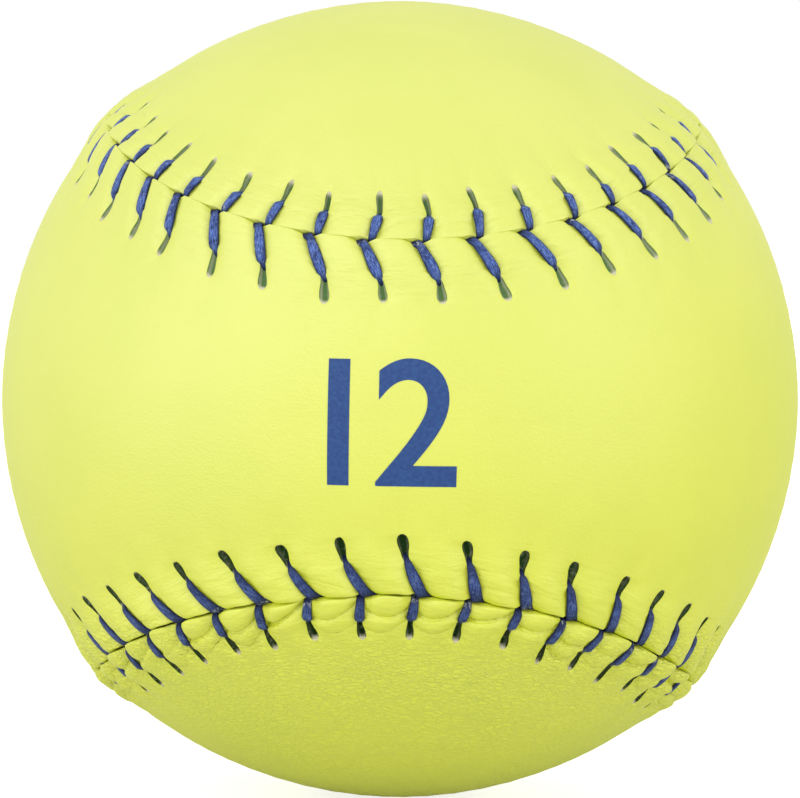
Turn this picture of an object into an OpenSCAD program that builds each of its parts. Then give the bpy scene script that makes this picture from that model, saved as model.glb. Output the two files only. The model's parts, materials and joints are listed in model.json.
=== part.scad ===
// A twelve inch slow-pitch softball: a moulded core, its coat of cement, a cover
// of two figure-eight panels, and the two runs of thread that lace the panels
// edge to edge in a herringbone seam.
// The origin is the centre of the ball. The waist of panel a faces -Y and its
// lobes lie at -X and +X. The lobes of panel b are the bottom and the top.

/* [Ball] */
// Girth of the finished ball, round the smooth of the cover
ball_girth = 304.8; // [275:0.1:410]
// Thickness of the synthetic leather of the cover
cover_thick = 1.6; // [1.3:0.05:2.2]
// Thickness of the cement on the core
cement_thick = 0.25; // [0.1:0.05:0.5]

/* [Seam line] */
// Stitches on each panel, a multiple of eight
stitch_count = 88; // [80:8:96]
// Share of the third harmonic, which draws the waists of the panels in
waist_share = 0.3115; // [0.28:0.005:0.34]
// Share by which the seam line rises and falls beside the middle of the ball
rise_share = 0.8605; // [0.8:0.005:0.95]
// Part of a stitch by which the first stitch lies past the start of the seam
phase_share = 0.55; // [0:0.05:1]

/* [Rolled edges] */
// Height of the rolled edges above the smooth of the cover
roll_height = 1.25; // [0.8:0.05:1.8]
// How far the rolled edges reach from the crease
roll_reach = 8; // [6:0.1:9]
// How far each leg of thread pulls the rolled edge down
pinch_depth = 0.5; // [0.2:0.05:0.7]
// Swell of the cover beside the rolled edges, which fades towards its middle
swell_height = 0.3; // [0.1:0.05:0.6]
// Gap between the two rolled edges, halfway from stitch to stitch
crease_gap = 0.16; // [0.1:0.02:0.4]

/* [Stitches] */
// Width of the flattened thread where it lies on the cover
thread_width = 1.35; // [1:0.05:1.6]
// Thickness of the flattened thread
thread_thick = 0.45; // [0.3:0.05:0.6]
// Diameter of the punched stitch holes
hole_d = 1.4; // [1.2:0.05:1.8]
// Distance of the holes of panel a from the crease
hole_inset_a = 6.6; // [5.5:0.1:8]
// Distance of the holes of panel b from the crease
hole_inset_b = 5.4; // [5.2:0.1:7.5]
// How far the holes of panel a lie behind the point of their stitch
lead_a = 2.1; // [1.5:0.1:4]
// How far the holes of panel b lie behind the point of their stitch
lead_b = 1.1; // [0.8:0.1:3.5]
// How far a thread dives ahead of its point from panel a, and behind it from b
dive_stagger = 0.6; // [0.6:0.05:0.9]
// Gap between the two threads that dive beside each other
dive_gap = 0.4; // [0.4:0.05:0.5]
// Gap between the two ends of a thread, which lie tucked under the cover
end_gap = 1; // [0.5:0.1:2]

/* [Hidden] */

// Gap kept between curved faces that are glued together
glue_gap = 0.02;
// Least clearance between a thread and the cover
thread_clear = 0.05;
// How far what cuts reaches past what it cuts
overrun = 1;
// Facets of the spheres and of the stitch holes
ball_facets = 240;
hole_facets = 24;

ball_r = ball_girth / (2 * PI);
seat_r = ball_r - cover_thick;
coat_r = seat_r - glue_gap;
core_r = coat_r - cement_thick - glue_gap;

// Someone who follows the stitches the way they point has panel a on the left,
// the positive side of the seam, and panel b on the right
side_a = 1;
side_b = -1;

// Rings of a rolled edge: distance from the crease as a share of roll_reach,
// height as a share of roll_height, and pull as a share of pinch_depth
crease_shares = [0, 0.56, 1];
crest_shares = [0.2, 1, 1];
foot_shares = [0.55, 0.6, 0.6];
// Rings of the field of a panel, as shares of the way from its rim to its spine
field_shares = [0.22, 0.42, 0.62, 0.82];
// Angle from the middle of a panel to the middle of its lobes, and the quarter
// turn of the seam line between the spines of the two panels
lobe_angle = 96;
quarter_turn = 90;

// The seam line, as a direction from the centre of the ball, and a table of how
// far the line has run at each whole degree of its angle
function unit(v) = v / norm(v);
function seam_dir(angle) = unit([
    (1 - waist_share) * cos(angle) - waist_share * cos(3 * angle),
    rise_share * cos(2 * angle),
    (1 - waist_share) * sin(angle) + waist_share * sin(3 * angle)]);
seam_runs = [for (angle = 0, run = 0; angle <= 360;
                  run = run + ball_r * norm(seam_dir(angle + 1) - seam_dir(angle)),
                  angle = angle + 1) [run, angle]];
seam_length = seam_runs[360][0];
pitch = seam_length / stitch_count;
function seam_angle(run) =
    lookup(run - seam_length * floor(run / seam_length), seam_runs);
function ahead_dir(run) =
    let (angle = seam_angle(run))
    unit(seam_dir(angle + 1) - seam_dir(angle - 1));
// The direction of a place beside the seam, across it towards panel a
function beside_seam(run, across) =
    let (up = seam_dir(seam_angle(run)),
         left = cross(up, ahead_dir(run)),
         turn = across / ball_r * 180 / PI)
    up * cos(turn) + left * sin(turn);

// The line on a panel that the leg of a stitch follows from the crease to its
// hole, as a run behind or ahead of the point of the stitch
function stitch_run(number) = (number + phase_share) * pitch;
function hole_inset(side) = side == side_a ? hole_inset_a : hole_inset_b;
function lead(side) = side == side_a ? lead_a : lead_b;
function leg_run(side, across) =
    let (part = min(1, across / hole_inset(side)))
    side * dive_stagger * (1 - part) - lead(side) * part;
function leg_dir(side, number, across) =
    beside_seam(stitch_run(number) + leg_run(side, across), side * across);

// Room for the thread over the cover, which rises to a pillow at either side of
// a slanting leg, and under it, where a straight stretch bows in to the core
function bow(reach) = pow(reach, 2) / (8 * seat_r);
function leg_length(side) = norm([hole_inset(side), lead(side) + side * dive_stagger]);
slant_share = leg_length(side_a) / hole_inset_a;
thread_rest = 2 * thread_clear + slant_share * pinch_depth * thread_width / pitch;
hidden_bow = bow(norm([max(hole_inset_a, hole_inset_b), pitch]));
hidden_r = seat_r + hidden_bow + thread_clear + thread_thick / 2;
roof_r = hidden_r + thread_thick / 2 + thread_clear + bow(pitch);
neck_width = sqrt(pow(hole_d - 4 * thread_clear, 2) - pow(thread_thick, 2));
// Notches in both lips let two threads dive side by side
dive_width = 2 * dive_stagger - dive_gap;
notch_share = (2 * dive_stagger + dive_width / 2) / (pitch / 2);
notch_half = (thread_thick / 2 + thread_clear - notch_share * crease_gap / 2)
           / (1 - notch_share);

function across_of(shares) = shares[0] * roll_reach;
function leg_top(shares) = ball_r + shares[1] * roll_height - shares[2] * pinch_depth;
function pillow_top(shares) = ball_r + shares[1] * roll_height;

module core() {
    color("oldlace") sphere(r = core_r, $fn = ball_facets);
}

module cement_coat() {
    color("khaki") difference() {
        sphere(r = coat_r, $fn = ball_facets);
        sphere(r = coat_r - cement_thick, $fn = ball_facets);
    }
}

// Rings of a panel with two columns to a stitch, of which one lies under the leg
// of thread and the other on the pillow between two legs
function lip_ring(side, leg_r, pillow_r) =
    [for (i = [0 : 2 * stitch_count - 1])
        let (leg = i % 2 == 0, across = leg ? notch_half : crease_gap / 2)
        beside_seam(stitch_run(i / 2) + side * dive_stagger, side * across)
        * (leg ? leg_r : pillow_r)];
function roll_ring(side, shares) =
    [for (i = [0 : 2 * stitch_count - 1])
        leg_dir(side, i / 2, across_of(shares))
        * (i % 2 == 0 ? leg_top(shares) : pillow_top(shares))];

// A ring with one column to a stitch
function plain_ring(side, across, radius) =
    [for (i = [0 : stitch_count - 1]) leg_dir(side, i, across) * radius];

// The spine of a panel runs from the middle of one lobe to that of the other
function spine_dir(side, angle) =
    let (turn = lobe_angle * (side == side_a ? cos(angle) : sin(angle)))
    side == side_a ? [sin(turn), -cos(turn), 0] : [0, cos(turn), sin(turn)];

// A ring in the field of a panel, at a share of the way from rim to spine
function roof_reach(side) = hole_inset(side) + hole_d;
function rim_reach(side) = roof_reach(side) + overrun;
function field_ring(side, count, share) =
    [for (i = [0 : count - 1])
        let (run = i * seam_length / count,
             shift = (1 - share) * (phase_share * pitch - lead(side)),
             rim = beside_seam(run + shift, side * rim_reach(side)),
             spine = spine_dir(side, seam_angle(run)))
        unit(rim * (1 - share) + spine * share)
        * (ball_r + swell_height * pow(1 - share, 2))];

// Triangles between two closed rings of points, given where each ring starts in
// the list of points. One ring has as many points as the other, twice as many,
// or closes on a single point
function turned(faces) = [for (face = faces) [face[0], face[2], face[1]]];
function strip(first, count, second, second_count) =
    count < second_count ? turned(strip(second, second_count, first, count))
    : second_count == 1
    ? [for (i = [0 : count - 1]) [first + i, first + (i + 1) % count, second]]
    : second_count == count
    ? [for (i = [0 : count - 1])
        let (next = (i + 1) % count)
        each [[first + i, first + next, second + next],
              [first + i, second + next, second + i]]]
    : [for (i = [0 : second_count - 1])
        let (a = first + 2 * i,
             b = first + (2 * i + 2) % count,
             c = second + i,
             d = second + (i + 1) % second_count)
        each [[a, a + 1, c], [a + 1, b, d], [a + 1, d, c]]];

// Triangles between the last ring and the spine, on which two opposite columns
// share each point
function folded(side, i, count) =
    let (turn = side == side_a ? i : i + 3 * count / 4,
         column = turn % count)
    min(column, count - column);
function spine_strip(side, first, count, spine) =
    [for (i = [0 : count - 1])
        let (next = (i + 1) % count,
             c = spine + folded(side, i, count),
             d = spine + folded(side, next, count))
        each [[first + i, first + next, d], [first + i, d, c]]];

// A whole panel, down to the centre of the ball
module panel_blank(side) {
    coarse = stitch_count / 2;
    spine_start = side == side_a ? 0 : quarter_turn;
    rings = [
        [[0, 0, 0]],
        plain_ring(side, rim_reach(side), seat_r - overrun),
        plain_ring(side, roof_reach(side), roof_r),
        plain_ring(side, across_of(foot_shares), roof_r),
        lip_ring(side, roof_r, roof_r),
        lip_ring(side, leg_top(crease_shares), pillow_top(crease_shares)),
        roll_ring(side, crest_shares),
        roll_ring(side, foot_shares),
        plain_ring(side, rim_reach(side), ball_r + swell_height),
        field_ring(side, stitch_count, field_shares[0]),
        for (k = [1 : 3]) field_ring(side, coarse, field_shares[k])];
    spine = [for (i = [0 : coarse / 2])
        spine_dir(side, spine_start + seam_angle(i * seam_length / coarse)) * ball_r];
    last = len(rings) - 1;
    starts = [for (k = 0, at = 0; k <= last + 1;
                   at = at + len(rings[min(k, last)]), k = k + 1) at];
    faces = [
        for (k = [0 : last - 1])
            each strip(starts[k], len(rings[k]), starts[k + 1], len(rings[k + 1])),
        each spine_strip(side, starts[last], coarse, starts[last + 1])];
    polyhedron(
        points = [for (ring = rings) each ring, each spine],
        faces = side == side_a ? turned(faces) : faces);
}

module stitch_holes(side) {
    for (i = [0 : stitch_count - 1]) {
        axis = leg_dir(side, i, hole_inset(side));
        rotate([0, acos(axis[2]), atan2(axis[1], axis[0])])
            translate([0, 0, seat_r - overrun])
                cylinder(d = hole_d, h = cover_thick + roll_height + 2 * overrun,
                         $fn = hole_facets);
    }
}

module cover_panel(side) {
    difference() {
        panel_blank(side);
        sphere(r = seat_r, $fn = ball_facets);
        stitch_holes(side);
    }
}

module cover_panel_a() {
    color("#dfe94f") cover_panel(side_a);
}

module cover_panel_b() {
    color("#d3de48") cover_panel(side_b);
}

// Stations of the thread on one stitch: up through the hole, over the rolled
// edge, down the crease, and under the other panel towards the next hole. Each
// has its place, its width and the way that the seam runs there
function station(side, number, across, radius, width) =
    [leg_dir(side, number, across) * radius, width,
     ahead_dir(stitch_run(number) + leg_run(side, across)), across == 0];
function thread_r(shares) = leg_top(shares) + thread_rest + thread_thick / 2;
function stitch_stations(side, number) = [
    station(side, number, hole_inset(side), hidden_r, neck_width),
    station(side, number, hole_inset(side), thread_r(foot_shares), neck_width),
    station(side, number, across_of(foot_shares), thread_r(foot_shares), thread_width),
    station(side, number, across_of(crest_shares), thread_r(crest_shares), thread_width),
    station(side, number, 0, thread_r(crease_shares), dive_width),
    station(side, number, 0, hidden_r, dive_width)];

// The whole run of a thread, which takes each panel in turn. Its two ends lie in
// the last stretch under the cover, a gap apart
function thread_stations(first_side) =
    let (route = [for (k = [0 : stitch_count - 1])
             each stitch_stations(first_side * (k % 2 == 0 ? 1 : -1), k)],
         start = route[0],
         stop = route[len(route) - 1],
         middle = (start[0] + stop[0]) / 2,
         tuck = unit(start[0] - stop[0]) * end_gap / 2)
    [[middle + tuck, start[1], start[2], false],
     each route,
     [middle - tuck, stop[1], stop[2], false]];

// The four corners of the thread at a station. Its width lies along the crease
// where it dives, and elsewhere square to its way over the ball. The offset for
// its thickness is mitred between the stretch before and the stretch after
function thread_ring(stations, k) =
    let (here = stations[k][0],
         before = stations[max(k - 1, 0)][0],
         after = stations[min(k + 1, len(stations) - 1)][0],
         arrive = unit(k == 0 ? after - here : here - before),
         leave = unit(after == here ? here - before : after - here),
         ahead = stations[k][2],
         square = unit(cross(here, arrive + leave)),
         wide = stations[k][3] ? ahead : square * sign(square * ahead),
         face = unit(cross(arrive, wide)),
         next_face = unit(cross(leave, wide)),
         deep = (face + next_face) * thread_thick / 2 / (1 + face * next_face),
         half = wide * stations[k][1] / 2)
    [here + half + deep, here + half - deep, here - half - deep, here - half + deep];

module stitch_thread(first_side) {
    stations = thread_stations(first_side);
    last = len(stations) - 1;
    rings = [for (k = [0 : last]) each thread_ring(stations, k)];
    end = 4 * last;
    polyhedron(points = rings, faces = [
        for (k = [0 : last - 1]) each strip(4 * k, 4, 4 * k + 4, 4),
        [0, 2, 1], [0, 3, 2],
        [end, end + 1, end + 2], [end, end + 2, end + 3]]);
}

module stitch_thread_a() {
    color("#3a4fb0") stitch_thread(side_a);
}

module stitch_thread_b() {
    color("#34469e") stitch_thread(side_b);
}

core();
cement_coat();
cover_panel_a();
cover_panel_b();
stitch_thread_a();
stitch_thread_b();
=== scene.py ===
import json
import math

import bpy
import numpy as np
from mathutils import Matrix, Vector


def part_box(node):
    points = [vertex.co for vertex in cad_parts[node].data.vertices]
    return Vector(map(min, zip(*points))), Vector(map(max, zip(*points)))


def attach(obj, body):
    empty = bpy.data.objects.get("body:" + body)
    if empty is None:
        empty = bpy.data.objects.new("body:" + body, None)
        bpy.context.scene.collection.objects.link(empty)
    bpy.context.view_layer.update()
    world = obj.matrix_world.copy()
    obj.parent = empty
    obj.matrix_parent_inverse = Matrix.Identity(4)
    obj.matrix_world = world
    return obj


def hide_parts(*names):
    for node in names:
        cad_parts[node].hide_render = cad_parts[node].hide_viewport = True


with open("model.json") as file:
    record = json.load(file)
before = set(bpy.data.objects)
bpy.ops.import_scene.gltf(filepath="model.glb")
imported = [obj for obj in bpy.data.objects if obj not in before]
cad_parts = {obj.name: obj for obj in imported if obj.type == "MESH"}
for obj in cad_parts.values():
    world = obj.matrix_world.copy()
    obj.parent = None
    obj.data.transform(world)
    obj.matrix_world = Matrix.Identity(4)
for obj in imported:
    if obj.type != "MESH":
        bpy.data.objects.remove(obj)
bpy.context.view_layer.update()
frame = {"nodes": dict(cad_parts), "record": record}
bpy.ops.object.select_all(action="DESELECT")


# The core is a ball of polyurethane foam, moulded in one shot in a two-part mould. Its skin is
# cream, with fine pores and a faint cloudiness where the foam filled the mould.
def new_material(name):
    material = bpy.data.materials.new(name)
    material.use_nodes = True
    return material, material.node_tree, material.node_tree.nodes["Principled BSDF"]


def add_node(tree, kind, **settings):
    node = tree.nodes.new(kind)
    for name, value in settings.items():
        if hasattr(node, name):
            setattr(node, name, value)
        else:
            node.inputs[name.replace("_", " ")].default_value = value
    return node


def mix_colours(tree, first, second, factor=None, blend="MIX"):
    mixer = tree.nodes.new("ShaderNodeMix")
    mixer.data_type = "RGBA"
    mixer.blend_type = blend
    for socket, value in ((mixer.inputs[6], first), (mixer.inputs[7], second), (mixer.inputs[0], factor)):
        if isinstance(value, bpy.types.NodeSocket):
            tree.links.new(value, socket)
        elif value is not None:
            socket.default_value = value
    return mixer.outputs[2]


def steps(tree, value, low, high, to_low=0.0, to_high=1.0):
    ranger = add_node(tree, "ShaderNodeMapRange", interpolation_type="SMOOTHSTEP")
    tree.links.new(value, ranger.inputs["Value"])
    ranger.inputs["From Min"].default_value = low
    ranger.inputs["From Max"].default_value = high
    ranger.inputs["To Min"].default_value = to_low
    ranger.inputs["To Max"].default_value = to_high
    return ranger.outputs["Result"]


def bump(tree, height, distance, strength=1.0, normal=None):
    bumper = add_node(tree, "ShaderNodeBump", Distance=distance, Strength=strength)
    tree.links.new(height, bumper.inputs["Height"])
    if normal is not None:
        tree.links.new(normal, bumper.inputs["Normal"])
    return bumper.outputs["Normal"]


foam, tree, shader = new_material("moulded_foam")
place = add_node(tree, "ShaderNodeTexCoord").outputs["Object"]
cloud = add_node(tree, "ShaderNodeTexNoise", Scale=90.0, Detail=4.0)
pores = add_node(tree, "ShaderNodeTexVoronoi", Scale=1400.0)
tree.links.new(place, cloud.inputs["Vector"])
tree.links.new(place, pores.inputs["Vector"])
skin = mix_colours(tree, (0.86, 0.83, 0.72, 1), (0.76, 0.71, 0.57, 1), cloud.outputs["Fac"])
tree.links.new(skin, shader.inputs["Base Color"])
tree.links.new(bump(tree, pores.outputs["Distance"], 0.00008), shader.inputs["Normal"])
shader.inputs["Roughness"].default_value = 0.7
frame["nodes"]["core"].data.materials.clear()
frame["nodes"]["core"].data.materials.append(foam)


# A thin coat of latex cement bonds the cover to the core. It is brushed on before the halves go
# on and dries to a matt, uneven, honey-coloured film.
cement, tree, shader = new_material("dried_cement")
place = add_node(tree, "ShaderNodeTexCoord").outputs["Object"]
strokes = add_node(tree, "ShaderNodeTexNoise", Scale=160.0, Detail=6.0, Distortion=1.5)
tree.links.new(place, strokes.inputs["Vector"])
film = mix_colours(tree, (0.76, 0.68, 0.44, 1), (0.62, 0.50, 0.26, 1), strokes.outputs["Fac"])
tree.links.new(film, shader.inputs["Base Color"])
tree.links.new(bump(tree, strokes.outputs["Fac"], 0.0001), shader.inputs["Normal"])
shader.inputs["Roughness"].default_value = 0.55
frame["nodes"]["cement_coat"].data.materials.clear()
frame["nodes"]["cement_coat"].data.materials.append(cement)


# The cover is two figure-eight panels of optic yellow synthetic leather. They are pulled tight
# round the core and laced edge to edge, which rolls their edges up, puckers them from stitch to
# stitch and drags each stitch hole out into a slit. Lengths are in millimetres up to the mesh.
MM = 0.001
ball_r = -frame["record"]["mounts"][0]["pos_m"][2] / MM
glue_gap = 0.02
thread_room = 0.95
seat_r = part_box("cement_coat")[1].x / MM + glue_gap
roof_r = seat_r + thread_room
stitch_count = 88
phase_share = 0.55
waist_share = 0.3115
rise_share = 0.8605
side_a, side_b = 1, -1
dive_stagger = 0.52
field_reach = 12.0
craft = np.random.default_rng(12)


def unit(vectors):
    return vectors / np.linalg.norm(vectors, axis=-1, keepdims=True)


def seam_dir(turn):
    narrow = 1 - waist_share
    return unit(np.stack([
        narrow * np.cos(turn) - waist_share * np.cos(3 * turn),
        rise_share * np.cos(2 * turn),
        narrow * np.sin(turn) + waist_share * np.sin(3 * turn)], -1))


seam_turns = np.linspace(0, 2 * np.pi, 3601)
seam_runs = np.concatenate([[0], np.cumsum(ball_r * np.linalg.norm(
    np.diff(seam_dir(seam_turns), axis=0), axis=1))])
seam_length = seam_runs[-1]
pitch = seam_length / stitch_count


def seam_turn(run):
    return np.interp(run % seam_length, seam_runs, seam_turns)


def ahead_dir(run):
    turn = seam_turn(run)
    return unit(seam_dir(turn + 0.01) - seam_dir(turn - 0.01))


def beside_seam(run, across):
    up = seam_dir(seam_turn(run))
    left = np.cross(up, ahead_dir(run))
    angle = (across / ball_r)[..., None]
    return up * np.cos(angle) + left * np.sin(angle)


def ease(value, low, high):
    share = np.clip((value - low) / (high - low), 0, 1)
    return share * share * (3 - 2 * share)


# Each leg of thread has its own length, slant and slit, as a hand lacing gives them. The reach
# is the length that shows, the lead is how far the leg slants back, and the slit carries on from
# there, leaning a little ahead or behind, with a bulb of its own half width at its end. The
# cover is slacker round the lower seam, so that its edges are folded up more there, and it is
# laced tightest on one side of the upper seam, where the threads sink between the pillows
def hand_spread(size):
    return size * np.clip(craft.normal(0, 1, stitch_count), -1.8, 1.8)


stitch_dirs = seam_dir(seam_turn(np.arange(stitch_count) * pitch))
slack = ease(-stitch_dirs[:, 2], -0.2, 0.2)
tight = ease(stitch_dirs[:, 0], 0.25, 0.70) * (1 - slack)
legs = {
    side: {
        "reach": reach + hand_spread(0.24),
        "lead": lead + hand_spread(0.28),
        "lean": lean + hand_spread(0.16),
        "slit": slit + hand_spread(0.18),
        "bulb": bulb + open_more * slack + hand_spread(0.04),
        "pull": 0.50 + 0.12 * slack + 0.12 * tight + hand_spread(0.06),
        "crumple": hand_spread(0.7),
        "twist": hand_spread(0.7),
        "pucker": np.clip(pucker * (0.22 + 0.78 * slack) * (1 + hand_spread(0.3)), 0, 1),
    }
    for side, reach, lead, lean, slit, bulb, open_more, pucker in (
        (side_a, 4.9, 2.3, -0.25, 2.45, 0.44, 0.08, 0.15),
        (side_b, 3.5, 0.60, 0.28, 2.35, 0.43, 0.07, 0.72))
}


def leg_run(side, stitch, across):
    leg = legs[side]
    number = stitch % stitch_count
    part = np.minimum(across / leg["reach"][number], 1)
    beyond = ease(across - leg["reach"][number], -0.4, leg["slit"][number])
    return ((stitch + phase_share) * pitch + side * dive_stagger
            - leg["lead"][number] * part ** 0.85 + leg["lean"][number] * beyond)


# Height of the cover over the smooth ball: the wide swell beside the seam, the rolled edge on
# it, and the drop at its lip, which is rounder where the cover is slack
swell_height, swell_reach = 0.42, 17
roll_height, crest_reach, roll_fall = 0.77, 1.2, 3.9


def pillow_height(across, loose=0.0):
    swell = swell_height / (1 + (across / swell_reach) ** 4)
    roll = roll_height * np.exp(-(np.maximum(across - crest_reach, 0) / roll_fall) ** 2)
    lip = (0.05 + 0.45 * loose) * np.exp(-across / (0.07 + 0.12 * loose))
    lip = lip + 0.25 * loose * np.exp(-across / 0.8)
    return swell + roll - lip


def pull_fade(side, across):
    """Share of a leg's pull on the edge, strongest at the lip and gone past the slit."""
    reach = 4.9 if side == side_a else 3.6
    return 1 + 0.35 * np.exp(-across / 1.3) - 0.85 * ease(across, 0.85 * reach, reach + 3.4)


def leg_height(side, stitch, across):
    number = stitch % stitch_count
    loose = slack[number] * (1 if side == side_a else 0.3)
    return pillow_height(across, loose) - legs[side]["pull"][number] * pull_fade(side, across)


# Small waves of the leather along the seam, each a few millimetres long
wave_count = 14
wave_turns = craft.integers(60, 190, wave_count)
wave_across = craft.normal(0, 1.1, wave_count)
wave_starts = craft.uniform(0, 2 * np.pi, (2, wave_count))


def ripple(side, run, across):
    starts = wave_starts[0 if side == side_a else 1]
    total = sum(np.sin(2 * np.pi * turns * run / seam_length + tilt * across + start)
                for turns, tilt, start in zip(wave_turns, wave_across, starts))
    return total / math.sqrt(wave_count)


# Columns of a panel beside a leg, as distances from it. The first three lie in its slit, the
# fourth on the edge of the slit, and the rest on the cover
leg_columns = np.array([0, 0.17, 0.34, 0.48, 0.60, 0.80, 1.12, 1.62, 2.25])
slit_floor = 2
half_columns = len(leg_columns)
stitch_columns = 2 * half_columns
column_gaps = np.concatenate([leg_columns, [pitch / 2], pitch - leg_columns[:0:-1]])
nearest_leg = np.concatenate([leg_columns, [pitch / 2], -leg_columns[:0:-1]])
column_ranks = np.concatenate([np.arange(half_columns), [half_columns], np.arange(half_columns - 1, 0, -1)])
lip_rings = np.array([0.01, 0.05, 0.12, 0.22, 0.38, 0.60, 0.88])
roll_rings = np.array([0, 0.13, 0.26, 0.39, 0.52, 0.65, 0.78, 0.90])
slit_rings = np.array([-0.02, 0.03, 0.18, 0.33, 0.47, 0.59, 0.70, 0.79, 0.86, 0.915, 0.955, 0.98, 1.0])
apron_rings = np.array([0.08, 0.25, 0.6, 1.1, 1.9, 2.9])
field_rings = np.array([0, 0.07, 0.15, 0.24, 0.34, 0.45, 0.56, 0.67, 0.78, 0.88, 0.95, 1])
inside_rings = np.array([1, 0.84, 0.68, 0.5, 0.33, 0.16, 0])
inside_reach = np.array([9.4, 8.4, 4.2, 0.4, 0.01])


def slit_width(share, bulb):
    """Half width of a slit, from its neck under the thread to its rounded end."""
    neck = 0.30 + (bulb - 0.30) * ease(share, 0.20, 0.70)
    rounding = np.sqrt(1 - (np.clip(share - 0.72, 0, 0.277) / 0.28) ** 2)
    return neck * rounding


def ring_reaches(side):
    """Distance of each ring of a panel's edge from the crease, at each stitch."""
    leg = legs[side]
    start = leg["reach"] - 0.7
    stop = leg["reach"] + leg["slit"]
    rolls = [1.2 + share * (start - 1.2) for share in roll_rings]
    slits = [start + share * (stop - start) for share in slit_rings]
    aprons = [stop + reach for reach in apron_rings]
    return np.array([np.full(stitch_count, reach) for reach in lip_rings] + rolls + slits + aprons)


lobe_angle = math.radians(96)


def spine_dir(side, turn):
    """The middle line of a panel, from the middle of one lobe to that of the other."""
    swing = lobe_angle * (np.cos(turn) if side == side_a else np.sin(turn))
    flat = np.zeros_like(swing)
    if side == side_a:
        return np.stack([np.sin(swing), -np.cos(swing), flat], -1)
    return np.stack([flat, np.cos(swing), np.sin(swing)], -1)


seam_points = seam_dir(np.linspace(0, 2 * np.pi, 704, endpoint=False))


def reach_from_seam(way):
    return np.arccos(np.clip((way @ seam_points.T).max(1), -1, 1)) * ball_r


def slit_edges(gap, rank, width):
    """Distance of the columns from their leg, where the edges of its slit lie a width away."""
    return np.select(
        [rank == 0, rank == 1, rank == 2, rank == 3, rank == 4, rank == 5, rank == 6],
        [0 * width, 0.40 * width, 0.80 * width, width, width + 0.08, width + 0.24, width + 0.55],
        np.abs(gap))


def puckered_edge(across, share, crumple, twist):
    """Height of the lobes between two legs, and the distance across from each of their two folds."""
    smile = np.sin(np.pi * share)
    tilt = 1.1 * twist * (share - 0.5)
    first_at = 2.1 + 0.4 * (1 + crumple) * smile - 1.4 * share ** 2 + tilt
    second_at = 3.2 + (1.0 + 0.8 * crumple) * smile - 0.5 * share ** 2 - tilt
    second_at = np.maximum(second_at, first_at + 0.6)
    first, second = across - first_at, across - second_at
    lobes = (0.40 * np.sin(np.pi * np.clip((across + 0.5) / (first_at + 0.5), 0, 1))
             + 0.22 * np.sin(np.pi * np.clip(first / (second_at - first_at), 0, 1)))
    valleys = ((0.56 - 0.2 * crumple) * np.exp(-np.abs(first) / np.where(first < 0, 0.65, 0.30))
               + np.maximum(0.20 + 0.4 * crumple, 0.04)
               * np.exp(-np.abs(second) / np.where(second < 0, 0.80, 0.40)))
    return lobes - valleys, first, second


# What the leather's material reads at each vertex, and what it reads on the smooth of the cover,
# where the folds lie too far away to show
mark_names = ("slit_depth", "felt_out_of_shade", "slit_lit_share", "first_fold", "second_fold", "fold_pull")
no_fold = 9
smooth_marks = (0, 0, 0, no_fold, no_fold, 0)


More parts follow.
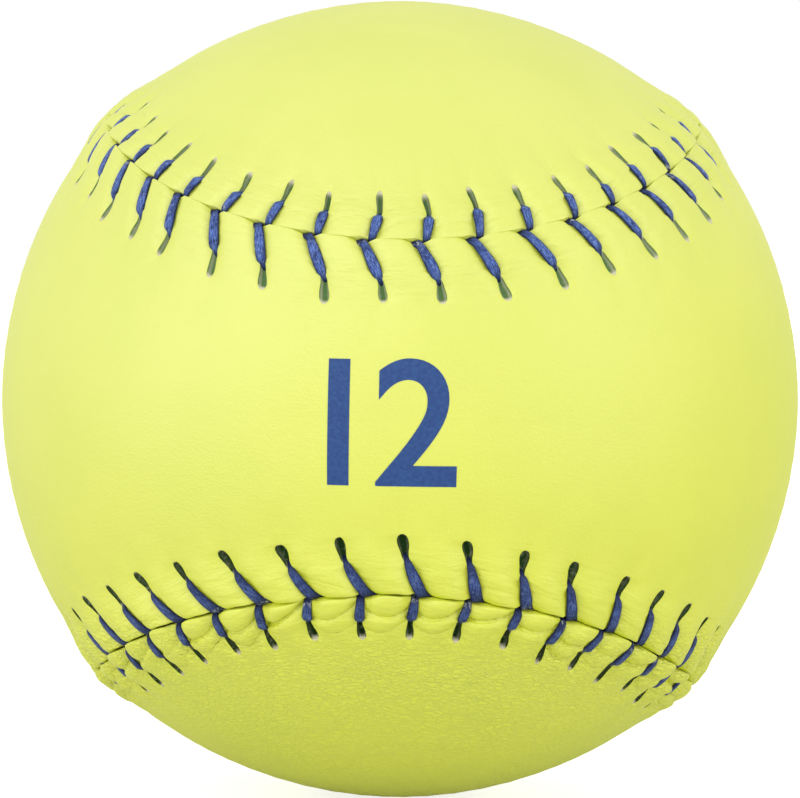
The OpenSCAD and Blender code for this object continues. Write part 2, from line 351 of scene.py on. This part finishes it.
def cover_rings(side):
    """Places of a panel's vertices, ring by ring, with their marks for the leather."""
    columns = stitch_columns * stitch_count + 1
    stitch = np.arange(columns) // stitch_columns
    column = np.arange(columns) % stitch_columns
    share = column_gaps[column] / pitch
    gap = nearest_leg[column]
    rank = column_ranks[column]
    this, other = stitch % stitch_count, (stitch + 1) % stitch_count
    nearest = np.where(gap >= 0, stitch, stitch + 1)
    bulb = legs[side]["bulb"][nearest % stitch_count]
    pull = legs[side]["pull"][this] * (1 - share) + legs[side]["pull"][other] * share
    pucker = legs[side]["pucker"][this]
    crumple, twist = legs[side]["crumple"][this], legs[side]["twist"][this]
    loose = slack[this] * (1 - share) + slack[other] * share
    bulge = 0.48 + 0.25 * legs[side_b]["twist"][this]

    reaches = ring_reaches(side)
    before_slit, past_slit = -1.0, 1.2
    first_slit = len(lip_rings) + len(roll_rings)
    slit_shares = np.full(len(reaches), before_slit)
    slit_shares[first_slit:first_slit + len(slit_rings)] = slit_rings
    slit_shares[first_slit + len(slit_rings):] = past_slit
    slit_ends = reaches[first_slit + len(slit_rings) - 1]
    rows, run_rows, across_rows = [], [], []
    marks = {name: [] for name in mark_names}
    for ring in range(len(reaches)):
        across = reaches[ring][this] * (1 - share) + reaches[ring][other] * share
        run = (leg_run(side, stitch, reaches[ring][this]) * (1 - share)
               + leg_run(side, stitch + 1, reaches[ring][other]) * share)
        slit = slit_shares[ring]
        if ring >= first_slit - 1:
            width = slit_width(np.clip(slit, 0, 1), bulb)
            edges = slit_edges(gap, rank, width)
            past_end = (reaches[ring] - slit_ends)[nearest % stitch_count]
            hold = 1 - ease(past_end, 0.0, 1.4)
            run = run + np.sign(gap) * (edges - np.abs(gap)) * np.where(rank <= 6, hold, 0)
        height = pillow_height(across, loose * (1 if side == side_a else 0.3))
        groove = np.exp(-(np.maximum(np.abs(gap) - 0.45, 0) / (0.7 + 0.35 * loose)) ** 2)
        fade = pull_fade(side, across)
        height = height - pull * fade * groove + (0.15 + 0.15 * loose) * (1 - groove) * fade
        between = ease(np.minimum(share, 1 - share), 0.03, 0.14)
        pucker_height, first, second = puckered_edge(across, share, crumple, twist)
        height = height + pucker * between * pucker_height
        waves = 0.05 * ripple(side, run, across)
        height = height + waves * (1 - ease(across, 5, 11)) * ease(across, 0.2, 1.5)
        tip = np.exp(-((run - (nearest + phase_share) * pitch) / 1.0) ** 4)
        shift = side * loose * bulge * np.sin(np.pi * share) ** 1.5 * np.exp(-across / 1.5)
        across = across + 0.23 * tip * np.exp(-across / 0.5) + shift
        inside = (rank <= slit_floor) & (slit >= 0) & (slit < 0.99)
        top = height + ball_r
        ending = 0.80 + (0.12 * loose if side == side_a else 0)
        sink = (ease(slit, -0.1, 0.2) * (1 - ease(slit, ending, 1.0)) * (0.75 + 0.25 * loose)
                * np.where(rank == slit_floor, 0.68, 1))
        floor = np.minimum(top - 0.12, top - sink * (top - roof_r - 0.10))
        on_edge = (rank == slit_floor + 1) & (slit >= 0) & (slit < 0.99)
        radius = np.where(inside, floor, top - np.where(on_edge, 0.05, 0))
        depth = np.where(inside, 1.0, np.where(on_edge, 0.85, 0.0))
        depth = np.where((slit > 0.99) & (slit < 1.1) & (rank <= slit_floor), 0.85, depth)
        rows.append(beside_seam(run, side * across) * radius[:, None])
        run_rows.append(run)
        across_rows.append(across)
        second = np.where(crumple < -0.1, no_fold, second)
        # The marks: slit depth, the share of bare felt against the painted shade deep in a slit, the share
        # of painted bounce light in the slits where the cover is tight, the two folds and how much they
        # pull
        found = (depth, 1 - ease(sink, 0.25, 0.80), 1 - loose, first, second, pucker * between)
        for name, value in zip(mark_names, found):
            marks[name].append(value)

    even_run = stitch * pitch + column_gaps[column]
    spine = spine_dir(side, seam_turn(even_run))
    slant = np.mean(legs[side]["lean"] - legs[side]["lead"])
    rim_shift = phase_share * pitch + side * dive_stagger + slant
    rim = beside_seam(even_run + rim_shift, np.full(columns, side * field_reach))
    for part in field_rings:
        way = unit(rim * (1 - part) + spine * part)
        across = reach_from_seam(way)
        rows.append(way * (ball_r + pillow_height(across))[:, None])
        run_rows.append(even_run + rim_shift)
        across_rows.append(across)
        for name, value in zip(mark_names, smooth_marks):
            marks[name].append(np.full(columns, value))

    under = []
    for part in inside_rings:
        under.append(unit(rim * (1 - part) + spine * part) * (seat_r + 0.1))
    for reach, radius in zip(inside_reach, [seat_r + 0.1, roof_r, roof_r, roof_r, roof_r]):
        way = np.full(columns, reach)
        under.append(beside_seam(leg_run(side, stitch, way) * (1 - share)
                                 + leg_run(side, stitch + 1, way) * share, side * way) * radius)
    count = len(under)
    rows = under + rows
    run_rows = [even_run] * count + run_rows
    across_rows = [np.full(columns, 20.0)] * count + across_rows
    marks = {mark: [np.full(columns, 0.0 if mark == "felt_out_of_shade" else 1.0)] * count + values
             for mark, values in marks.items()}
    return np.array(rows), np.array(run_rows), np.array(across_rows), marks


def bend_grid(name, places, along, across, marks):
    """A grid, bent so that its vertices lie at the places given, closed on itself."""
    rings, columns = places.shape[:2]
    bpy.ops.mesh.primitive_grid_add(x_subdivisions=columns - 1, y_subdivisions=rings - 1, size=2)
    piece = bpy.context.active_object
    piece.name = piece.data.name = name
    mesh = piece.data
    flat = np.empty(len(mesh.vertices) * 3, np.float32)
    mesh.vertices.foreach_get("co", flat)
    flat = flat.reshape(-1, 3)
    column = np.rint((flat[:, 0] + 1) / 2 * (columns - 1)).astype(int)
    ring = np.rint((flat[:, 1] + 1) / 2 * (rings - 1)).astype(int)
    mesh.vertices.foreach_set("co", (places[ring, column] * MM).astype(np.float32).ravel())
    corners = np.empty(len(mesh.loops), np.int32)
    mesh.loops.foreach_get("vertex_index", corners)
    spots = np.stack([along[ring, column], across[ring, column]], -1)[corners]
    mesh.uv_layers[0].data.foreach_set("uv", spots.astype(np.float32).ravel())
    for mark, values in marks.items():
        layer = mesh.attributes.new(mark, "FLOAT", "POINT")
        layer.data.foreach_set("value", np.array(values)[ring, column].astype(np.float32))
    bpy.ops.object.mode_set(mode="EDIT")
    bpy.ops.mesh.select_all(action="SELECT")
    bpy.ops.mesh.remove_doubles(threshold=1e-6)
    bpy.ops.mesh.normals_make_consistent(inside=False)
    bpy.ops.object.mode_set(mode="OBJECT")
    return piece


# The pale yellow is the leather with painted sheen on it, for the side of the ball that the key lamp lights
sheen_pale_yellow = (0.79, 0.84, 0.115, 1)
deep_yellow = (0.79, 0.84, 0.004, 1)
dye_cloud = (0.96, 0.975, 0.85, 1)
painted_low_lift = (1.06, 1.06, 0.90, 1)
crease_shade = (0.97, 0.975, 0.93, 1)
slit_bounce_green = (0.11, 0.23, 0.07, 1)
slit_shade = (0.014, 0.050, 0.007, 1)
tuft_grey = (0.30, 0.34, 0.20, 1)
bare_felt = (0.78, 0.74, 0.54, 1)
leather, tree, shader = new_material("optic_leather")
place = add_node(tree, "ShaderNodeTexCoord").outputs["Object"]
grain = add_node(tree, "ShaderNodeTexVoronoi", Scale=2600.0, feature="SMOOTH_F1")
fine = add_node(tree, "ShaderNodeTexNoise", Scale=3600.0, Detail=3.0)
drift = add_node(tree, "ShaderNodeTexNoise", Scale=55.0, Detail=3.0)
for texture in (grain, fine, drift):
    tree.links.new(place, texture.inputs["Vector"])

# A painted sheen makes the leather paler towards the upper left of the ball, the side that the key lamp
# lights, and the dye is clouded
lit_side = add_node(tree, "ShaderNodeVectorMath", operation="DOT_PRODUCT")
lit_side.inputs[1].default_value = (-0.4, 0, 1)
tree.links.new(place, lit_side.inputs[0])
painted_sheen = steps(tree, lit_side.outputs["Value"], -0.65 * ball_r * MM, 0.75 * ball_r * MM)
clouded = steps(tree, drift.outputs["Fac"], 0.35, 0.65)
yellow = mix_colours(tree, deep_yellow, sheen_pale_yellow, painted_sheen)
yellow = mix_colours(tree, yellow, dye_cloud, clouded, "MULTIPLY")

# Low on the ball a coarser wrinkle stands out in its grain. There the colour is painted a little lighter
# and deeper yellow, as painted light that makes up for the light the wrinkle's bump takes off
squeeze = add_node(tree, "ShaderNodeMapping")
squeeze.inputs["Scale"].default_value = (1000, 1000, 2300)
tree.links.new(place, squeeze.inputs["Vector"])
sway = add_node(tree, "ShaderNodeTexNoise", Scale=1.1, Detail=3.0)
tree.links.new(squeeze.outputs["Vector"], sway.inputs["Vector"])
swayed = mix_colours(tree, squeeze.outputs["Vector"], sway.outputs["Color"], 0.9, "LINEAR_LIGHT")
wrinkle = add_node(tree, "ShaderNodeTexVoronoi", Scale=1.0, feature="DISTANCE_TO_EDGE")
tree.links.new(swayed, wrinkle.inputs["Vector"])
spot = add_node(tree, "ShaderNodeSeparateXYZ")
tree.links.new(place, spot.inputs[0])
low = steps(tree, spot.outputs["Z"], -0.60 * ball_r * MM, -0.42 * ball_r * MM, 1.0, 0.1)
# Painted light: low on the ball the colour is lifted to make up for the light lost to the wrinkle's bump
yellow = mix_colours(tree, yellow, painted_low_lift, low, "MULTIPLY")
# Painted shade darkens the wrinkle's creases low on the ball
creased = add_node(tree, "ShaderNodeMath", operation="MULTIPLY")
tree.links.new(steps(tree, wrinkle.outputs["Distance"], 0.0, 0.16, 1.0, 0.0), creased.inputs[0])
tree.links.new(low, creased.inputs[1])
yellow = mix_colours(tree, yellow, crease_shade, creased.outputs[0], "MULTIPLY")

# In the slits the felted backing shows, pale at the torn end. Deeper in, painted shade covers it: dark
# green with painted light bounced off the yellow walls where the cover is tight round the upper seam and
# faces the lamps, near black where it is slack round the lower seam, with grey fibre tufts
slit_mark = add_node(tree, "ShaderNodeAttribute", attribute_name="slit_depth").outputs["Fac"]
felt_mark = add_node(tree, "ShaderNodeAttribute", attribute_name="felt_out_of_shade").outputs["Fac"]
light_mark = add_node(tree, "ShaderNodeAttribute", attribute_name="slit_lit_share").outputs["Fac"]
tufts = add_node(tree, "ShaderNodeTexNoise", Scale=1900.0, Detail=3.0)
tree.links.new(place, tufts.inputs["Vector"])
tufted = steps(tree, tufts.outputs["Fac"], 0.50, 0.75, 0.0, 0.6)
# Painted shade deep in the slits, lighter green where painted bounce light falls on the tight upper seam
slit_painted_shade = mix_colours(tree, slit_shade, slit_bounce_green, light_mark)
slit_painted_shade = mix_colours(tree, slit_painted_shade, tuft_grey, tufted)
felt_and_shade = mix_colours(tree, slit_painted_shade, bare_felt, felt_mark)
coat = mix_colours(tree, yellow, felt_and_shade, steps(tree, slit_mark, 0.45, 0.75))
tree.links.new(coat, shader.inputs["Base Color"])


# The pattern that follows the seam: sharp folds where the edges are folded up between the legs,
# and fine creases along the seam that die out on the smooth of the cover
def fold_line(tree, mark, depth):
    from_fold = add_node(tree, "ShaderNodeAttribute", attribute_name=mark)
    pulled = add_node(tree, "ShaderNodeAttribute", attribute_name="fold_pull")
    apart = add_node(tree, "ShaderNodeMath", operation="ABSOLUTE")
    tree.links.new(from_fold.outputs["Fac"], apart.inputs[0])
    line = add_node(tree, "ShaderNodeMath", operation="MULTIPLY")
    tree.links.new(steps(tree, apart.outputs[0], 0.0, 0.3, -depth, 0.0), line.inputs[0])
    tree.links.new(pulled.outputs["Fac"], line.inputs[1])
    return line.outputs[0]


seam_place = add_node(tree, "ShaderNodeUVMap").outputs["UV"]
stretch = add_node(tree, "ShaderNodeMapping")
stretch.inputs["Scale"].default_value = (1.6, 14.0, 1.0)
tree.links.new(seam_place, stretch.inputs["Vector"])
creases = add_node(tree, "ShaderNodeTexNoise", Scale=1.0, Detail=2.0)
tree.links.new(stretch.outputs["Vector"], creases.inputs["Vector"])
seam_parts = add_node(tree, "ShaderNodeSeparateXYZ")
tree.links.new(seam_place, seam_parts.inputs[0])
crease = add_node(tree, "ShaderNodeMath", operation="MULTIPLY")
tree.links.new(creases.outputs["Fac"], crease.inputs[0])
tree.links.new(steps(tree, seam_parts.outputs["Y"], 0.25, 0.95, 1.0, 0.0), crease.inputs[1])

coarse = add_node(tree, "ShaderNodeMath", operation="MULTIPLY")
tree.links.new(steps(tree, wrinkle.outputs["Distance"], 0.0, 0.20), coarse.inputs[0])
tree.links.new(low, coarse.inputs[1])
relief = bump(tree, fine.outputs["Fac"], 0.00014, 0.2)
relief = bump(tree, grain.outputs["Distance"], 0.00006, 0.35, relief)
relief = bump(tree, coarse.outputs[0], 0.00008, 1.0, relief)
relief = bump(tree, crease.outputs[0], 0.0003, 0.6, relief)
relief = bump(tree, fold_line(tree, "first_fold", 0.45), 0.00035, 1.0, relief)
relief = bump(tree, fold_line(tree, "second_fold", 0.30), 0.00035, 1.0, relief)
tree.links.new(relief, shader.inputs["Normal"])
shader.inputs["Roughness"].default_value = 0.56
shader.inputs["IOR"].default_value = 1.8
tree.links.new(steps(tree, slit_mark, 0.3, 0.7, 1.0, 0.05), shader.inputs["Specular IOR Level"])

for side, node_name in ((side_a, "cover_panel_a"), (side_b, "cover_panel_b")):
    places, runs, acrosses, marks = cover_rings(side)
    panel = bend_grid("leather_" + node_name[-7:], places, runs / pitch, acrosses / 10, marks)
    panel.data.materials.append(leather)
    bpy.ops.object.shade_smooth_by_angle(angle=math.radians(60))
    panel.select_set(False)
    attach(panel, "root")
    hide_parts(node_name)


# A plain number, the size of the ball in inches, is printed on the waist of the panel. It is a
# film of blue ink, pad-printed on the leather before it is sewn, and it takes the grain.
ink, tree, shader = new_material("print_ink")
place = add_node(tree, "ShaderNodeTexCoord").outputs["Object"]
grain = add_node(tree, "ShaderNodeTexVoronoi", Scale=2600.0, feature="SMOOTH_F1")
patches = add_node(tree, "ShaderNodeTexNoise", Scale=2200.0, Detail=4.0)
for texture in (grain, patches):
    tree.links.new(place, texture.inputs["Vector"])
thinner = steps(tree, patches.outputs["Fac"], 0.40, 0.65)
film = mix_colours(tree, (0.010, 0.058, 0.23, 1), (0.016, 0.078, 0.27, 1), thinner)
tree.links.new(film, shader.inputs["Base Color"])
tree.links.new(bump(tree, grain.outputs["Distance"], 0.00010, 0.8), shader.inputs["Normal"])
shader.inputs["Roughness"].default_value = 0.5

bpy.ops.object.text_add()
number = bpy.context.active_object
number.name = number.data.name = "size_number"
number.data.body = "12"
number.data.align_x = "CENTER"
number.data.offset = 0.012
number.data.space_character = 0.88
number.data.resolution_u = 10
bpy.ops.object.convert(target="MESH")
bpy.ops.object.mode_set(mode="EDIT")
bpy.ops.mesh.select_all(action="SELECT")
bpy.ops.mesh.remove_doubles(threshold=1e-5)
bpy.ops.mesh.dissolve_limited(angle_limit=math.radians(1))
bpy.ops.mesh.quads_convert_to_tris(quad_method="BEAUTY", ngon_method="BEAUTY")
bpy.ops.mesh.subdivide(number_cuts=7)
bpy.ops.object.mode_set(mode="OBJECT")
spots = np.array([vertex.co for vertex in number.data.vertices])
number_height = 14.0
film_lift = 0.04
spots = (spots - (spots.max(0) + spots.min(0)) / 2) * number_height / np.ptp(spots[:, 1])
sideways, up = spots[:, 0] / ball_r, spots[:, 1] / ball_r
way = np.stack([np.sin(sideways) * np.cos(up), -np.cos(sideways) * np.cos(up), np.sin(up)], -1)
spots = way * (ball_r + pillow_height(reach_from_seam(way)) + film_lift)[:, None] * MM
number.data.vertices.foreach_set("co", spots.astype(np.float32).ravel())
number.data.update()
number.data.materials.append(ink)
bpy.ops.object.shade_smooth()
number.select_set(False)
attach(number, "root")


# Two runs of waxed blue thread lace the panels together. Each comes up through a slit, lies flat
# over the rolled edge, dives into the crease and goes under the other panel to its next slit.
thread_thick = 0.40
hidden_lift = 0.48
hidden_r = seat_r + hidden_lift
lints = {side: craft.uniform(0, 1, stitch_count) for side in (side_a, side_b)}


def leg_ribbon(side, stitch):
    """Places, widths and seam directions of a thread from the bottom of its slit to its dive."""
    reach = legs[side]["reach"][stitch % stitch_count]
    across = np.concatenate([
        reach + np.array([0.00, -0.01, -0.04, -0.10, -0.18]),
        np.linspace(reach - 0.28, 0.85, 22), [0.62, 0.40, 0.22, 0.10, 0.02, 0, 0]])
    height = leg_height(side, stitch, across) + thread_thick / 2 + 0.03
    height = height - 0.9 * ease(across, reach - 1.1, reach + 0.05) - 0.35 * ease(-across, -0.55, 0.0)
    radius = ball_r + height
    radius[:3] = [hidden_r, hidden_r + 0.25, hidden_r + 0.5]
    radius[-2:] = [hidden_r + 0.7, hidden_r]
    tail = (0.22 if side == side_a else 0.04) * ease(-across, -0.60, 0.0)
    run = leg_run(side, stitch * np.ones(len(across), int), across) + side * tail
    places = beside_seam(run, side * across) * radius[:, None]
    number = stitch % stitch_count
    flare = slack[number] if side == side_a else 0.25 * slack[number]
    places_along = [0, 0.12, 0.3, 0.5, 0.65, 0.8, 0.88, 0.94, 1.0]
    taut = np.interp(across / reach, places_along, [0.38, 0.48, 0.57, 0.63, 0.65, 0.59, 0.49, 0.38, 0.26])
    loose = np.interp(across / reach, places_along, [0.58, 0.66, 0.69, 0.66, 0.59, 0.48, 0.40, 0.31, 0.22])
    widths = (taut * (1 - flare) + loose * flare) * (1 + 0.03 * np.sin(9 * across / reach + stitch))
    widths = widths * (1 - 0.35 * tight[number] * (1 - across / reach)) * (1 if side == side_a else 0.90)
    widths = widths + tail * (1 - 0.6 * tight[number])
    # Painted shade: the thread is painted darker towards both ends of a leg, where it dives into its slit
    # and into the crease, and darker all along on the slack lower seam, which faces away from the lamps
    out_of_shade = np.sin(np.pi * np.clip(across / reach, 0.02, 0.98)) ** 0.6 * (1 - 0.45 * slack[number])
    lint = np.exp(-((across - 0.4) / 0.35) ** 2) * (lints[side][stitch % stitch_count] > 0.75)
    return places, widths, ahead_dir(run), out_of_shade, lint


def thread_path(first_side):
    """Places, widths, directions and the two marks of a run of thread from end to end."""
    parts = []
    for stitch in range(stitch_count):
        leg = leg_ribbon(first_side * (1 if stitch % 2 == 0 else -1), stitch)
        after = leg_ribbon(first_side * (-1 if stitch % 2 == 0 else 1), stitch + 1)
        share = np.linspace(0, 1, 8)[1:-1, None]
        hidden = unit(leg[0][-1] * (1 - share) + after[0][0] * share) * hidden_r
        none = np.zeros(len(hidden))
        parts += [leg, (hidden, none + 0.40, leg[2][-1] * (1 - share) + after[2][0] * share, none, none)]
    return [np.concatenate(rows)[6:-3] for rows in zip(*parts)]


section_points = 16


def thread_rings(first_side):
    path, widths, aheads, out_of_shade, lint = thread_path(first_side)
    aheads = unit(aheads)
    smooth = path.copy()
    smooth[1:-1] = path[1:-1] * 0.6 + (path[:-2] + path[2:]) * 0.2
    forward = unit(np.gradient(smooth, axis=0))
    flat = unit(np.cross(unit(smooth), forward))
    flat *= np.sign(np.sum(flat * aheads, -1, keepdims=True))
    steep = np.abs(np.sum(forward * unit(smooth), -1, keepdims=True))
    wide = flat * (1 - ease(steep, 0.45, 0.85)) + aheads * ease(steep, 0.45, 0.85)
    for _ in range(2):
        wide[1:-1] = wide[1:-1] * 0.5 + (wide[:-2] + wide[2:]) * 0.25
    wide = unit(wide - forward * np.sum(wide * forward, -1, keepdims=True))
    thin = np.cross(forward, wide)
    angle = np.linspace(0, 2 * np.pi, section_points + 1)
    plies = 1 + 0.10 * np.abs(np.sin(2.5 * angle))
    across = np.sign(np.cos(angle)) * np.abs(np.cos(angle)) ** 0.85
    thick = np.sign(np.sin(angle)) * np.abs(np.sin(angle)) ** 0.75 * plies
    rings = (smooth[:, None]
             + wide[:, None] * (widths[:, None] * across[None])[..., None]
             + thin[:, None] * (thread_thick / 2 * thick)[None, :, None])
    length = np.concatenate([[0], np.cumsum(np.linalg.norm(np.diff(smooth, axis=0), axis=1))])
    along = np.repeat(length[:, None], section_points + 1, 1)
    around = np.repeat(np.linspace(0, 1, section_points + 1)[None], len(smooth), 0)
    first_end = np.repeat(smooth[:1, None], section_points + 1, 1)
    last_end = np.repeat(smooth[-1:, None], section_points + 1, 1)
    rings = np.concatenate([first_end, rings, last_end])
    row = np.concatenate([[0], np.arange(len(smooth)), [len(smooth) - 1]])
    marks = {"out_of_shade": np.repeat(out_of_shade[row, None], section_points + 1, 1),
             "lint": np.repeat(lint[row, None], section_points + 1, 1),
             "edge": np.repeat(np.abs(np.cos(angle))[None], len(row), 0)}
    return rings, along[row], around[row], marks


thread_blue = (0.16, 0.28, 0.76, 1)
thread_shade = (0.020, 0.045, 0.20, 1)
dull_wax = (0.45, 0.48, 0.55, 1)
pale_fibre = (0.26, 0.36, 0.72, 1)
painted_shade_blue = (0.008, 0.016, 0.075, 1)
painted_edge_shade = (0.008, 0.016, 0.10, 1)
lint_grey = (0.60, 0.64, 0.66, 1)
waxed, tree, shader = new_material("waxed_thread")
way = add_node(tree, "ShaderNodeUVMap")
place = add_node(tree, "ShaderNodeTexCoord").outputs["Object"]
stretch = add_node(tree, "ShaderNodeMapping")
stretch.inputs["Scale"].default_value = (60.0, 1.2, 1.0)
strands = add_node(tree, "ShaderNodeTexNoise", Scale=1.0, Detail=4.0)
tree.links.new(way.outputs["UV"], stretch.inputs["Vector"])
tree.links.new(stretch.outputs["Vector"], strands.inputs["Vector"])
specks = add_node(tree, "ShaderNodeTexNoise", Scale=3200.0, Detail=2.0)
patches = add_node(tree, "ShaderNodeTexNoise", Scale=800.0, Detail=2.0)
fluff = add_node(tree, "ShaderNodeTexNoise", Scale=2200.0, Detail=3.0)
for texture in (specks, patches, fluff):
    tree.links.new(place, texture.inputs["Vector"])
out_of_shade_mark = add_node(tree, "ShaderNodeAttribute", attribute_name="out_of_shade").outputs["Fac"]
edge_mark = add_node(tree, "ShaderNodeAttribute", attribute_name="edge").outputs["Fac"]
lint_mark = add_node(tree, "ShaderNodeAttribute", attribute_name="lint").outputs["Fac"]
lint_share = add_node(tree, "ShaderNodeMath", operation="MULTIPLY")
tree.links.new(lint_mark, lint_share.inputs[0])
tree.links.new(steps(tree, fluff.outputs["Fac"], 0.50, 0.66, 0.0, 0.75), lint_share.inputs[1])
blue = mix_colours(tree, thread_shade, thread_blue, steps(tree, strands.outputs["Fac"], 0.42, 0.62))
blue = mix_colours(tree, blue, dull_wax, steps(tree, patches.outputs["Fac"], 0.45, 0.62), "MULTIPLY")
blue = mix_colours(tree, blue, pale_fibre, steps(tree, specks.outputs["Fac"], 0.50, 0.72, 0.0, 0.6))
# Painted shade darkens the ends of the legs and the thread of the lower seam
blue = mix_colours(tree, painted_shade_blue, blue, steps(tree, out_of_shade_mark, 0.1, 0.9))
# Painted shade darkens the two edges of the flat thread, where it turns away from the light
blue = mix_colours(tree, blue, painted_edge_shade, steps(tree, edge_mark, 0.60, 0.98, 0.0, 0.85))
blue = mix_colours(tree, blue, lint_grey, lint_share.outputs[0])
tree.links.new(blue, shader.inputs["Base Color"])
tree.links.new(bump(tree, strands.outputs["Fac"], 0.00012, 0.8), shader.inputs["Normal"])
shader.inputs["Roughness"].default_value = 0.6
shader.inputs["Specular IOR Level"].default_value = 0.3

for side, node_name in ((side_a, "stitch_thread_a"), (side_b, "stitch_thread_b")):
    rings, along, around, marks = thread_rings(side)
    thread = bend_grid("waxed_" + node_name[-8:], rings, around, along, marks)
    thread.data.materials.append(waxed)
    bpy.ops.object.shade_smooth()
    thread.select_set(False)
    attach(thread, "root")
    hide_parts(node_name)


# The ball stands on a pale sweep of studio paper under soft lamps, and the camera looks at it
# from the photograph's side, through a long lens. The paper and the world show as plain white.
paper_gap = 0.4
bpy.ops.mesh.primitive_grid_add(
    x_subdivisions=40, y_subdivisions=40, size=6, location=(0, 0, -(ball_r + paper_gap) * MM))
paper = bpy.context.active_object
paper.name = "studio_paper"
paper.select_set(False)


def shown_rays(tree, mirrored):
    """One for what the camera sees straight, and a share for what it sees in a reflection."""
    rays = add_node(tree, "ShaderNodeLightPath")
    seen = rays.outputs["Is Camera Ray"]
    for ray in ("Is Glossy Ray", "Is Transmission Ray"):
        part = add_node(tree, "ShaderNodeMath", operation="MULTIPLY")
        tree.links.new(rays.outputs[ray], part.inputs[0])
        part.inputs[1].default_value = mirrored
        either = add_node(tree, "ShaderNodeMath", operation="MAXIMUM")
        tree.links.new(seen, either.inputs[0])
        tree.links.new(part.outputs[0], either.inputs[1])
        seen = either.outputs[0]
    return seen


sweep, tree, shader = new_material("pale_paper")
shader.inputs["Base Color"].default_value = (0.76, 0.76, 0.75, 1)
shader.inputs["Roughness"].default_value = 0.8
shader.inputs["Emission Color"].default_value = (1, 1, 1, 1)
mirrored_paper = 0.3
shown = shown_rays(tree, mirrored_paper)
tree.links.new(steps(tree, shown, 0.0, 1.0, 0.0, 0.75), shader.inputs["Emission Strength"])
paper.data.materials.append(sweep)

world = bpy.data.worlds.new("studio_white")
bpy.context.scene.world = world
world.use_nodes = True
tree = world.node_tree
sky = tree.nodes["Background"]
sky.inputs["Color"].default_value = (1, 1, 1, 1)
shown = shown_rays(tree, 1.0)
tree.links.new(steps(tree, shown, 0.0, 1.0, 0.75, 1.0), sky.inputs["Strength"])


def soft_lamp(name, direction, distance, size, watts):
    spot = unit(np.array(direction, float)) * distance
    bpy.ops.object.light_add(type="AREA", location=spot)
    lamp = bpy.context.active_object
    lamp.name = name
    lamp.data.size = size
    lamp.data.energy = watts
    lamp.rotation_euler = Vector(-spot).to_track_quat("-Z", "Y").to_euler()
    lamp.select_set(False)


soft_lamp("key_lamp", (-0.36, -1.0, 0.68), 0.9, 0.65, 1.6)
soft_lamp("right_lamp", (1.0, -0.7, 0.1), 1.0, 0.6, 2.2)
soft_lamp("left_lamp", (-1.0, -0.6, 0.0), 1.0, 0.6, 2.2)

camera_azimuth = math.radians(0.91)
camera_elevation = math.radians(3.03)
camera_roll = math.radians(0.97)
camera_radii = 9.12
photo_width = 800
ball_pixels = 397.9
camera_distance = camera_radii * ball_r * MM
focal_pixels = ball_pixels * math.sqrt(camera_radii ** 2 - 1)
back = Vector((math.sin(camera_azimuth) * math.cos(camera_elevation),
               -math.cos(camera_azimuth) * math.cos(camera_elevation),
               math.sin(camera_elevation)))
bpy.ops.object.camera_add(location=back * camera_distance)
camera = bpy.context.active_object
camera.data.sensor_width = 36
camera.data.lens = camera.data.sensor_width * focal_pixels / photo_width
camera.rotation_euler = (back.to_track_quat("Z", "Y").to_matrix()
                         @ Matrix.Rotation(camera_roll, 3, "Z")).to_euler()
bpy.context.scene.camera = camera
bpy.context.scene.view_settings.view_transform = "Standard"
